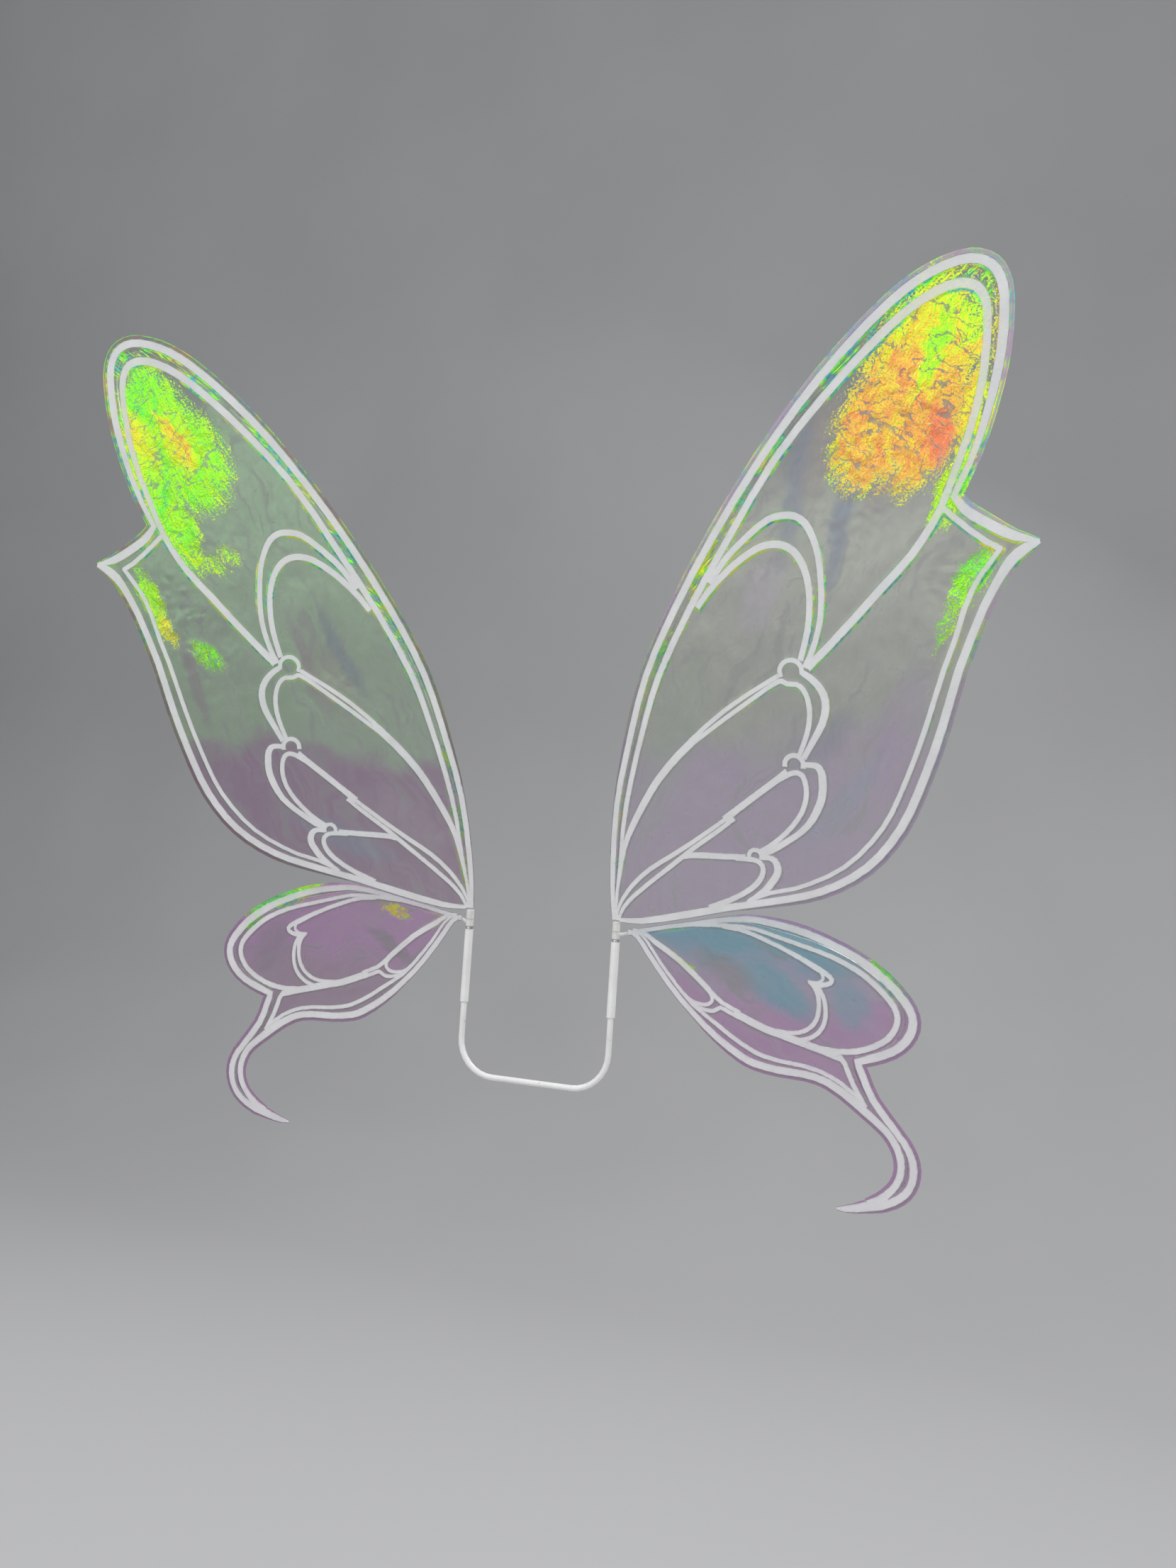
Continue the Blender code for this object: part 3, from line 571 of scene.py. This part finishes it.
# Softer clouds of colour: the same, with the colour itself.
CLOUDS = {
    "right_upper": [
        (0.165, 0.330, 0.060, 0.009, 76, BLUE, 0.50), (0.200, 0.318, 0.085, 0.008, 74, BLUE, 0.60),
        (0.182, 0.350, 0.044, 0.012, 72, SAND, 0.60), (0.225, 0.335, 0.040, 0.016, 70, SAND, 0.40),
        (0.135, 0.255, 0.034, 0.018, 60, LILAC, 0.35), (0.235, 0.160, 0.050, 0.020, 70, LILAC, 0.6),
        (0.178, 0.150, 0.036, 0.014, 40, BLUE, 0.40), (0.060, 0.150, 0.080, 0.020, 68, MEADOW, 0.35),
        (0.190, 0.105, 0.050, 0.010, 50, TEAL, 0.25)],
    "left_upper": [
        (0.110, 0.215, 0.046, 0.008, 60, BLUE, 0.55), (0.140, 0.205, 0.050, 0.006, 66, PLUM, 0.40),
        (0.120, 0.190, 0.050, 0.020, 55, SAND, 0.40), (0.240, 0.185, 0.044, 0.006, 74, PLUM, 0.45),
        (0.244, 0.424, 0.060, 0.012, 52, SMOKE, 0.8), (0.060, 0.080, 0.044, 0.016, 30, ROSE, 0.5),
        (0.110, 0.060, 0.050, 0.012, 20, TEAL, 0.35)],
    "right_lower": [
        (0.130, -0.040, 0.040, 0.017, -34, TEAL, 0.9), (0.190, -0.050, 0.026, 0.015, -60, TEAL, 0.6),
        (0.150, -0.008, 0.052, 0.008, -18, TEAL, 0.9), (0.206, -0.066, 0.024, 0.012, 60, ORCHID, 0.8),
        (0.090, -0.030, 0.030, 0.012, -30, SMOKE, 0.5)],
    "left_lower": [(0.110, -0.016, 0.040, 0.018, 0, ORCHID, 0.8),
                   (0.074, -0.036, 0.030, 0.006, 34, SMOKE, 0.6),
                   (0.190, -0.045, 0.028, 0.016, -60, SMOKE, 0.4)],
}
# The way a wing's streaks run, in degrees from outboard.
GRAIN_TURN = {"upper": 64, "lower": -22}
HAZE = {"upper": (0.25, 0.18), "lower": (0.34, 0.28)}        # how much the open film hides
# The painted glints grow from faint to full between two heights. A wing may have spots of painted glint
# besides.
GLINT_RISE = {"upper": (0.10, 0.27, 0.15, 1.0), "lower": (1.0, 2.0, 0.05, 1.0)}
GLINT_SPOTS = {
    "right_upper": [(0.010, 0.080, 0.070, 0.008, 84, 0.6)],
    "left_upper": [(0.012, 0.080, 0.090, 0.010, 82, 0.8)],
    "right_lower": [(0.212, -0.020, 0.036, 0.012, -50, 0.9), (0.060, -0.002, 0.030, 0.004, 0, 0.6)],
    "left_lower": [(0.178, 0.000, 0.052, 0.013, -26, 1.0), (0.050, -0.012, 0.036, 0.008, -14, 0.8)],
}
# The colour of the narrow film margin outside the veins.
MARGIN = {"right_upper": LILAC, "left_upper": MAROON, "right_lower": ORCHID, "left_lower": ORCHID}

# Lengths along and across one of each mark on the film, in metres.
STREAK = (0.060, 0.0085)
PLEAT = (0.022, 0.0022)
FOLD = (0.011, 0.030)
HATCH = (0.020, 0.0016)
# How far each mark's grain is turned back from the wing's own, in degrees.
PLEAT_BACK, FOLD_BACK, HATCH_BACK = 6, 10, 28
# Noise scales, in swings for each metre.
BROAD, CRUMPLE, SPECKLE, RUN, FLASH = 16.0, 85.0, 700.0, 15.0, 30.0
# How far the patches' edges stray by each noise, and how far the height bands stray besides.
CRUMPLE_STRAY, BROAD_STRAY, BAND_STRAY = 0.012, 0.016, 0.060
SEED_STEP = (0.37, 0.11)      # how far one unit of a wing's seed moves its patterns
BLOB_EDGE = (1.25, 0.45)      # a blob fades in from the first to the second of its own radii
COOL = 0.3                    # the heat of film away from any sheen
# The most that each layer hides: painted sheen, painted glints, margin and the painted shade beside a vein.
PAINTED_SHEEN_COVER, PAINTED_GLINT_COVER, MARGIN_COVER, PAINTED_SHADE_COVER = 0.78, 0.92, 0.42, 0.42
VEIN_CLEARS = 0.86            # how much of the film's cover is dropped where it lies over a vein
FILM_METALLIC = 0.9
FILM_ROUGHNESS = (0.14, 0.28)
RELIEF_STRENGTH, RELIEF_DEPTH = 0.6, 0.0014


class Film(Nodes):
    """The film of one wing: see-through tint, with a painted sheen, pleats, speckle and painted glints along
    its edges.
    """

    def __init__(self, prefix, wing, seed):
        super().__init__(prefix + "_film")
        self.prefix, self.wing, self.turn = prefix, wing, GRAIN_TURN[wing]
        self.plane = self.add("ShaderNodeAttribute", attribute_name="plane").outputs["Vector"]
        self.flat = self.vector("ADD", self.plane, (seed * SEED_STEP[0], seed * SEED_STEP[1], 0.0))
        tilt = self.parts(self.add("ShaderNodeAttribute", attribute_name="tilt").outputs["Vector"])
        # How the film leans: it turns the hues of the painted sheen and glints and moves where the painted
        # sheen shows.
        self.lean = self.math("MULTIPLY_ADD", tilt[1], 0.8, tilt[0])
        broad = self.noise(self.flat, BROAD, 2.0, 0.5).outputs["Color"]
        crumple = self.noise(self.flat, CRUMPLE, 4.0, 0.6, 0.8)
        self.crumple = crumple.outputs["Fac"]
        shake = self.wander(crumple.outputs["Color"], CRUMPLE_STRAY)
        drift = self.vector("ADD", shake, self.wander(broad, BROAD_STRAY))
        self.near = self.vector("ADD", self.plane, drift)
        self.far = self.vector("ADD", self.near, self.wander(broad, BAND_STRAY))
        streak = self.place(self.far, (seed, 0.0), STREAK, self.turn)
        self.streaks = self.noise(streak, 1.0, 3.0, 0.55, 0.5).outputs["Fac"]
        pleat = self.place(self.near, (0.0, seed), PLEAT, self.turn - PLEAT_BACK)
        self.pleats = self.noise(pleat, 1.0, 3.0, 0.65, 0.6).outputs["Fac"]
        self.speckle = self.noise(self.flat, SPECKLE, 2.0, 0.8).outputs["Fac"]

    def place(self, place, centre, size, turn):
        """Coordinates along and across a turned ellipse, 1 at its edge."""
        mapping = self.add("ShaderNodeMapping", vector_type="TEXTURE")
        self.put(mapping.inputs["Vector"], place)
        self.put(mapping.inputs["Location"], (*centre, 0.0))
        self.put(mapping.inputs["Rotation"], (0.0, 0.0, math.radians(turn)))
        self.put(mapping.inputs["Scale"], (*size, 1.0))
        return mapping.outputs[0]

    def parts(self, vector):
        split = self.add("ShaderNodeSeparateXYZ")
        self.put(split.inputs[0], vector)
        return split.outputs

    def blob(self, place, centre_u, centre_v, along, across, turn, power):
        away = self.vector("LENGTH", self.place(place, (centre_u, centre_v), (along, across), turn))
        return self.span(away, *BLOB_EDGE, 0.0, power)

    def wander(self, pattern, reach):
        centred = self.vector("SUBTRACT", pattern, (0.5, 0.5, 0.5))
        return self.vector("MULTIPLY", centred, (reach, reach, 0.0))

    def offset(self, value, gain):
        """A pattern's swing either side of nothing."""
        return self.math("MULTIPLY", self.math("SUBTRACT", value, 0.5), gain)

    def tint(self, low, high):
        """The see-through colour: bands up the wing, streaks, clouds and the margin."""
        height = self.span(self.parts(self.far)[1], low, high)
        height.node.interpolation_type = "LINEAR"
        colour = self.ramp(height, TINTS[self.prefix], "EASE")
        colour = self.mix(self.span(self.streaks, 0.54, 0.66, 0.0, 0.45), colour, SMOKE)
        for *ellipse, cloud, power in CLOUDS[self.prefix]:
            colour = self.mix(self.blob(self.near, *ellipse, power), colour, cloud)
        return self.mix(self.math("MULTIPLY", self.attribute("margin"), 0.8), colour, MARGIN[self.prefix])

    def painted_sheen(self):
        """Painted sheen, a lamp's reflection painted where the film bunches: how near to a patch, how bright
        there, and how warm its colour.
        """
        share, heat = 0.0, COOL
        for *ellipse, warm, power in PAINTED_SHEEN[self.prefix]:
            here = self.blob(self.near, *ellipse, power)
            heat = self.math("MULTIPLY_ADD", here, self.math("SUBTRACT", warm, heat), heat)
            share = self.math("MAXIMUM", share, here)
        for pattern, gain in ((self.streaks, 0.55), (self.pleats, 0.40), (self.speckle, 0.8)):
            heat = self.math("ADD", heat, self.offset(pattern, gain))
        heat = self.math("MULTIPLY_ADD", self.lean, 0.45, heat)
        ragged = share
        for pattern, gain in ((self.pleats, 1.7), (self.speckle, 2.2)):
            ragged = self.math("ADD", ragged, self.offset(pattern, gain))
        ragged = self.math("MULTIPLY_ADD", self.lean, 0.5, ragged)
        painted_sheen = self.math("MULTIPLY", self.span(ragged, 0.30, 0.66), self.span(share, 0.02, 0.30))
        # Fold lines cut dark breaks into the painted sheen.
        folds = self.place(self.near, (0.0, 0.0), FOLD, self.turn - FOLD_BACK)
        folds = self.noise(folds, 1.0, 2.0, 0.5, 0.3)
        fold = self.math("ABSOLUTE", self.math("SUBTRACT", folds.outputs["Fac"], 0.5))
        return share, self.math("MULTIPLY", painted_sheen, self.span(fold, 0.0, 0.022, 0.35, 1.0)), heat

    def painted_glints(self):
        """Painted glints, thin lines of reflected light painted beside veins, over wires and at the rim:
        their strength, hues and gain.
        """
        hues = self.noise(self.flat, RUN, 4.0, 0.7).outputs["Fac"]
        hues = self.math("MULTIPLY_ADD", self.lean, 0.25, self.span(hues, 0.28, 0.72))
        flash = self.span(self.noise(self.flat, FLASH, 3.0, 0.6).outputs["Fac"], 0.40, 0.52)
        hatch = self.place(self.flat, (0.0, 0.0), HATCH, self.turn - HATCH_BACK)
        hatch = self.noise(hatch, 1.0, 2.0, 0.6).outputs["Fac"]
        hatch = self.math("MULTIPLY", self.span(hatch, 0.46, 0.60), flash)
        gain = self.span(self.parts(self.plane)[1], *GLINT_RISE[self.wing])
        for *ellipse, power in GLINT_SPOTS[self.prefix]:
            gain = self.math("MAXIMUM", gain, self.blob(self.near, *ellipse, power))
        edge = self.math("MULTIPLY_ADD", flash, 0.85, 0.15)
        edge = self.math("MULTIPLY", self.attribute("vein_edge_glint_and_shade"), edge)
        gap = self.math("MULTIPLY", self.attribute("wire_gap"), hatch)
        rim = self.math("MULTIPLY", self.attribute("rim"), self.math("MULTIPLY_ADD", flash, 0.75, 0.1))
        bright = self.math("MAXIMUM", self.math("MAXIMUM", edge, gap), rim)
        return self.math("MULTIPLY", bright, gain), hues, gain


def film_material(prefix, wing, low, high, seed):
    made = Film(prefix, wing, seed)
    # The base colour: the see-through tint, then the painted sheen, a painted shade beside the veins and the
    # painted glints.
    share, painted_sheen, heat = made.painted_sheen()
    colour = made.mix(painted_sheen, made.tint(low, high), made.ramp(heat, HEAT))
    bright, hues, gain = made.painted_glints()
    # A painted shade: a dark line beside the veins where the painted glints are faint.
    outline = made.math("MULTIPLY", made.attribute("vein_edge_glint_and_shade"), made.math("SUBTRACT", 1.0, gain))
    colour = made.mix(made.math("MULTIPLY", outline, 0.6), colour, PAINTED_SHADE)
    made.set("Base Color", made.mix(bright, colour, made.ramp(hues, PAINTED_GLINTS)))

    cover = made.span(made.streaks, 0.3, 0.7, *HAZE[wing])
    for layer, most in (
            (painted_sheen, PAINTED_SHEEN_COVER), (bright, PAINTED_GLINT_COVER), (made.attribute("margin"), MARGIN_COVER),
            (outline, PAINTED_SHADE_COVER)):
        cover = made.math("MAXIMUM", cover, made.math("MULTIPLY", layer, most))
    cleared = made.math("MULTIPLY_ADD", made.attribute("over_vein"), -VEIN_CLEARS, 1.0)
    made.set("Alpha", made.math("MULTIPLY", cover, cleared))
    made.set("Metallic", FILM_METALLIC)
    made.set("Roughness", made.span(made.crumple, 0.3, 0.7, *FILM_ROUGHNESS))
    relief = made.math("ADD", made.math("MULTIPLY", made.pleats, 0.5), made.crumple)
    depth = made.math("MULTIPLY_ADD", share, 0.7, 0.3)
    made.set("Normal", made.bump(made.math("MULTIPLY", relief, depth), RELIEF_STRENGTH, RELIEF_DEPTH))
    return made.material


# ---------------------------------------------------------------- other materials

def vein_material():
    made = Nodes("brushed_white_sheet")
    place = made.object_place()
    brushed = made.add("ShaderNodeMapping")
    made.put(brushed.inputs["Vector"], place)
    made.put(brushed.inputs["Scale"], (300.0, 300.0, 2600.0))
    lines = made.noise(brushed.outputs[0], 1.0, 3.0, 0.6).outputs["Fac"]
    cloud = made.noise(place, 42.0, 3.0, 0.55).outputs["Fac"]
    colour = made.greys(cloud, 0.73, 0.83)
    colour = made.mix(made.span(lines, 0.35, 0.75, 0.0, 0.24), colour, (0.50, 0.51, 0.53))
    made.set("Base Color", colour)
    made.set("Roughness", made.span(lines, 0.2, 0.8, 0.36, 0.52))
    made.set("Normal", made.bump(lines, 0.25, 0.0002))
    made.set("Specular IOR Level", 0.5)
    return made.material


def wire_material():
    made = Nodes("drawn_spring_wire")
    place = made.object_place()
    drawn = made.noise(place, 1400.0, 3.0, 0.6).outputs["Fac"]
    dull = made.noise(place, 60.0, 3.0, 0.6).outputs["Fac"]
    made.set("Base Color", made.greys(dull, (0.50, 0.50, 0.51), (0.70, 0.70, 0.71)))
    made.set("Metallic", 1.0)
    made.set("Roughness", made.span(dull, 0.3, 0.7, 0.22, 0.38))
    made.set("Normal", made.bump(drawn, 0.2, 0.0001))
    return made.material


def coated_material():
    made = Nodes("white_dipped_coating")
    place = made.object_place()
    cloud = made.noise(place, 35.0, 4.0, 0.6).outputs["Fac"]
    pebble = made.noise(place, 900.0, 2.0, 0.5).outputs["Fac"]
    colour = made.greys(cloud, (0.70, 0.70, 0.68), (0.80, 0.80, 0.79))
    scuffs = made.span(made.noise(place, 170.0, 5.0, 0.7).outputs["Fac"], 0.64, 0.72)
    made.set("Base Color", made.mix(scuffs, colour, (0.48, 0.47, 0.45)))
    made.set("Roughness", made.span(pebble, 0.3, 0.7, 0.28, 0.42))
    made.set("Normal", made.bump(pebble, 0.3, 0.00025))
    made.set("Coat Weight", 0.15)
    return made.material


def tape_material():
    made = Nodes("woven_binding_tape")
    place = made.object_place()
    waves = made.add("ShaderNodeTexWave", wave_type="BANDS", bands_direction="Z")
    made.put(waves.inputs["Vector"], place)
    made.put(waves.inputs["Scale"], 900.0)
    made.put(waves.inputs["Distortion"], 1.5)
    weave = waves.outputs["Fac"]
    cloud = made.noise(place, 240.0, 3.0, 0.6).outputs["Fac"]
    colour = made.greys(cloud, (0.66, 0.65, 0.62), (0.80, 0.79, 0.77))
    made.set("Base Color", made.mix(made.span(weave, 0.2, 0.8, 0.0, 0.25), colour, (0.52, 0.51, 0.49)))
    made.set("Roughness", 0.75)
    made.set("Normal", made.bump(weave, 0.5, 0.0002))
    made.set("Sheen Weight", 0.3)
    return made.material


# ---------------------------------------------------------------- pieces

CREASES = {
    "right_upper": [(0.250, 0.385, 0.045, 1.0), (0.195, 0.330, 0.050, 0.7), (0.280, 0.260, 0.025, 0.9),
                    (0.110, 0.300, 0.030, 0.6), (0.030, 0.060, 0.040, 0.5)],
    "left_upper": [(0.255, 0.375, 0.048, 1.0), (0.235, 0.295, 0.035, 0.8), (0.270, 0.245, 0.030, 0.9),
                   (0.225, 0.215, 0.035, 0.8), (0.120, 0.190, 0.030, 0.6)],
    "right_lower": [(0.180, -0.040, 0.040, 0.6), (0.130, 0.000, 0.030, 0.5)],
    "left_lower": [(0.180, 0.000, 0.040, 0.6), (0.060, -0.010, 0.025, 0.6)],
}
SEEDS = {"right_upper": 1.3, "left_upper": 4.1, "right_lower": 6.7, "left_lower": 9.2}


def make_wing(side, wing):
    layout = Wing(side, wing)
    prefix = layout.prefix
    low, high = layout.flat[:, 1].min(), layout.flat[:, 1].max()
    low = max(low, 0.0) if wing == "upper" else low
    finish = film_material(prefix, wing, low, high, SEEDS[prefix])
    for face, node in ((-1, "_rear_film"), (1, "_front_film")):
        piece = film(layout, face, CREASES[prefix], SEEDS[prefix])
        piece.data.materials.append(finish)
        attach(piece, prefix + "_wing")
        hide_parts(prefix + node)
    return layout


def bind(side, wing, layout, finish):
    """The tape on a wing's knuckle and, under a lower wing, on its wire."""
    pieces = [wound_knuckle(side, wing)]
    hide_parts(f"{side}_{wing}_knuckle")
    if wing == "lower":
        pieces.append(wound_root(layout))
    for piece in pieces:
        piece.data.materials.append(finish)
        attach(piece, f"{side}_{wing}_wing")


def dress(name, finish):
    node = nodes[name]
    node.data.materials.clear()
    node.data.materials.append(finish)


# The floor and backdrop: levels in metres, the backdrop's two greys and the floor's pale one.
FLOOR_Z, FLOOR_FRONT, BACKDROP_Y, BACKDROP_TOP, BEND, HALF_WIDTH = -0.55, -2.7, 2.2, 6.0, 1.2, 7.0
BEND_ROWS = 16
BACKDROP_SHADES = (0.34, 0.37)
FLOOR_SHADE = 0.46
PALE_FROM, PALE_TO = 0.2, 1.9

# Each light: its place, where it points, its width and height in metres, and its watts.
LIGHTS = {
    "key": ((-1.5, -0.9, 1.5), (0.0, -0.1, 0.25), 0.9, 0.9, 17),
    "side": ((1.7, -0.9, 0.9), (0.0, -0.1, 0.25), 0.8, 1.2, 12),
    "fill": ((-0.8, -3.0, 0.65), (0.0, 0.0, 0.25), 3.6, 2.3, 25),
    "front": ((0.9, 1.0, 1.7), (0.0, 0.0, 0.25), 1.2, 1.2, 20),
    "overhead": ((0.0, -1.5, 3.4), (0.0, -1.5, 0.0), 7.0, 7.0, 70),
}
WORLD_COLOUR = (0.93, 0.95, 1.0, 1.0)
WORLD_STRENGTH = 0.40


def make_camera():
    camera = bpy.data.objects.new("camera", bpy.data.cameras.new("camera"))
    bpy.context.scene.collection.objects.link(camera)
    back = -Vector(CAMERA_FORWARD).normalized()
    up = Vector(CAMERA_UP)
    right = up.cross(back).normalized()
    up = back.cross(right)
    turned = Matrix((right, up, back)).transposed().to_4x4()
    camera.matrix_world = Matrix.Translation(CAMERA_PLACE) @ turned
    camera.data.lens = LENS
    camera.data.sensor_width = SENSOR
    camera.data.sensor_fit = "HORIZONTAL"
    camera.data.clip_start = 0.01
    bpy.context.scene.camera = camera


def area_light(name, place, target, width, height, power):
    light = bpy.data.objects.new(name, bpy.data.lights.new(name, "AREA"))
    bpy.context.scene.collection.objects.link(light)
    light.data.shape = "RECTANGLE"
    light.data.size = width
    light.data.size_y = height
    light.data.energy = power
    light.visible_camera = False
    light.location = place
    light.rotation_euler = (Vector(target) - Vector(place)).to_track_quat("-Z", "Y").to_euler()


def make_stage():
    """A pale floor that curves up into a backdrop well behind the wings."""
    centre_y, centre_z = BACKDROP_Y - BEND, FLOOR_Z + BEND
    profile = [(FLOOR_FRONT, FLOOR_Z), (centre_y, FLOOR_Z)]
    for i in range(1, BEND_ROWS + 1):
        angle = math.radians(90 * i / BEND_ROWS)
        profile.append((centre_y + BEND * math.sin(angle), centre_z - BEND * math.cos(angle)))
    profile.append((BACKDROP_Y, BACKDROP_TOP))
    points = [(x, y, z) for y, z in profile for x in (-HALF_WIDTH, HALF_WIDTH)]
    faces = [(2 * i, 2 * i + 1, 2 * i + 3, 2 * i + 2) for i in range(len(profile) - 1)]
    mesh = bpy.data.meshes.new("backdrop")
    mesh.from_pydata(points, [], faces)
    mesh.shade_smooth()
    stage = bpy.data.objects.new("backdrop", mesh)
    bpy.context.scene.collection.objects.link(stage)
    made = Nodes("backdrop_paper")
    place = made.object_place()
    cloud = made.noise(place, 1.5, 3.0, 0.5).outputs["Fac"]
    shade = made.greys(cloud, *BACKDROP_SHADES)
    split = made.add("ShaderNodeSeparateXYZ")
    made.put(split.inputs[0], place)
    pale = made.span(split.outputs[1], PALE_FROM, PALE_TO, 1.0, 0.0)
    made.set("Base Color", made.mix(pale, shade, grey(FLOOR_SHADE)))
    made.set("Roughness", 0.85)
    mesh.materials.append(made.material)


def make_lights():
    world = bpy.data.worlds.new("studio")
    bpy.context.scene.world = world
    world.use_nodes = True
    background = world.node_tree.nodes["Background"]
    background.inputs["Color"].default_value = WORLD_COLOUR
    background.inputs["Strength"].default_value = WORLD_STRENGTH
    for name, settings in LIGHTS.items():
        area_light(name, *settings)


make_camera()
make_stage()
make_lights()
veins = vein_material()
wire = wire_material()
coated = coated_material()
tape = tape_material()
for side in SIDES:
    for wing in SWEEP:
        bind(side, wing, make_wing(side, wing), tape)
        dress(side + "_" + wing + "_veins", veins)
        dress(side + "_" + wing + "_wire", wire)
    dress(side + "_post", wire)
    dress(side + "_socket", coated)
dress("base_frame", coated)
bpy.context.scene.view_settings.view_transform = "Standard"
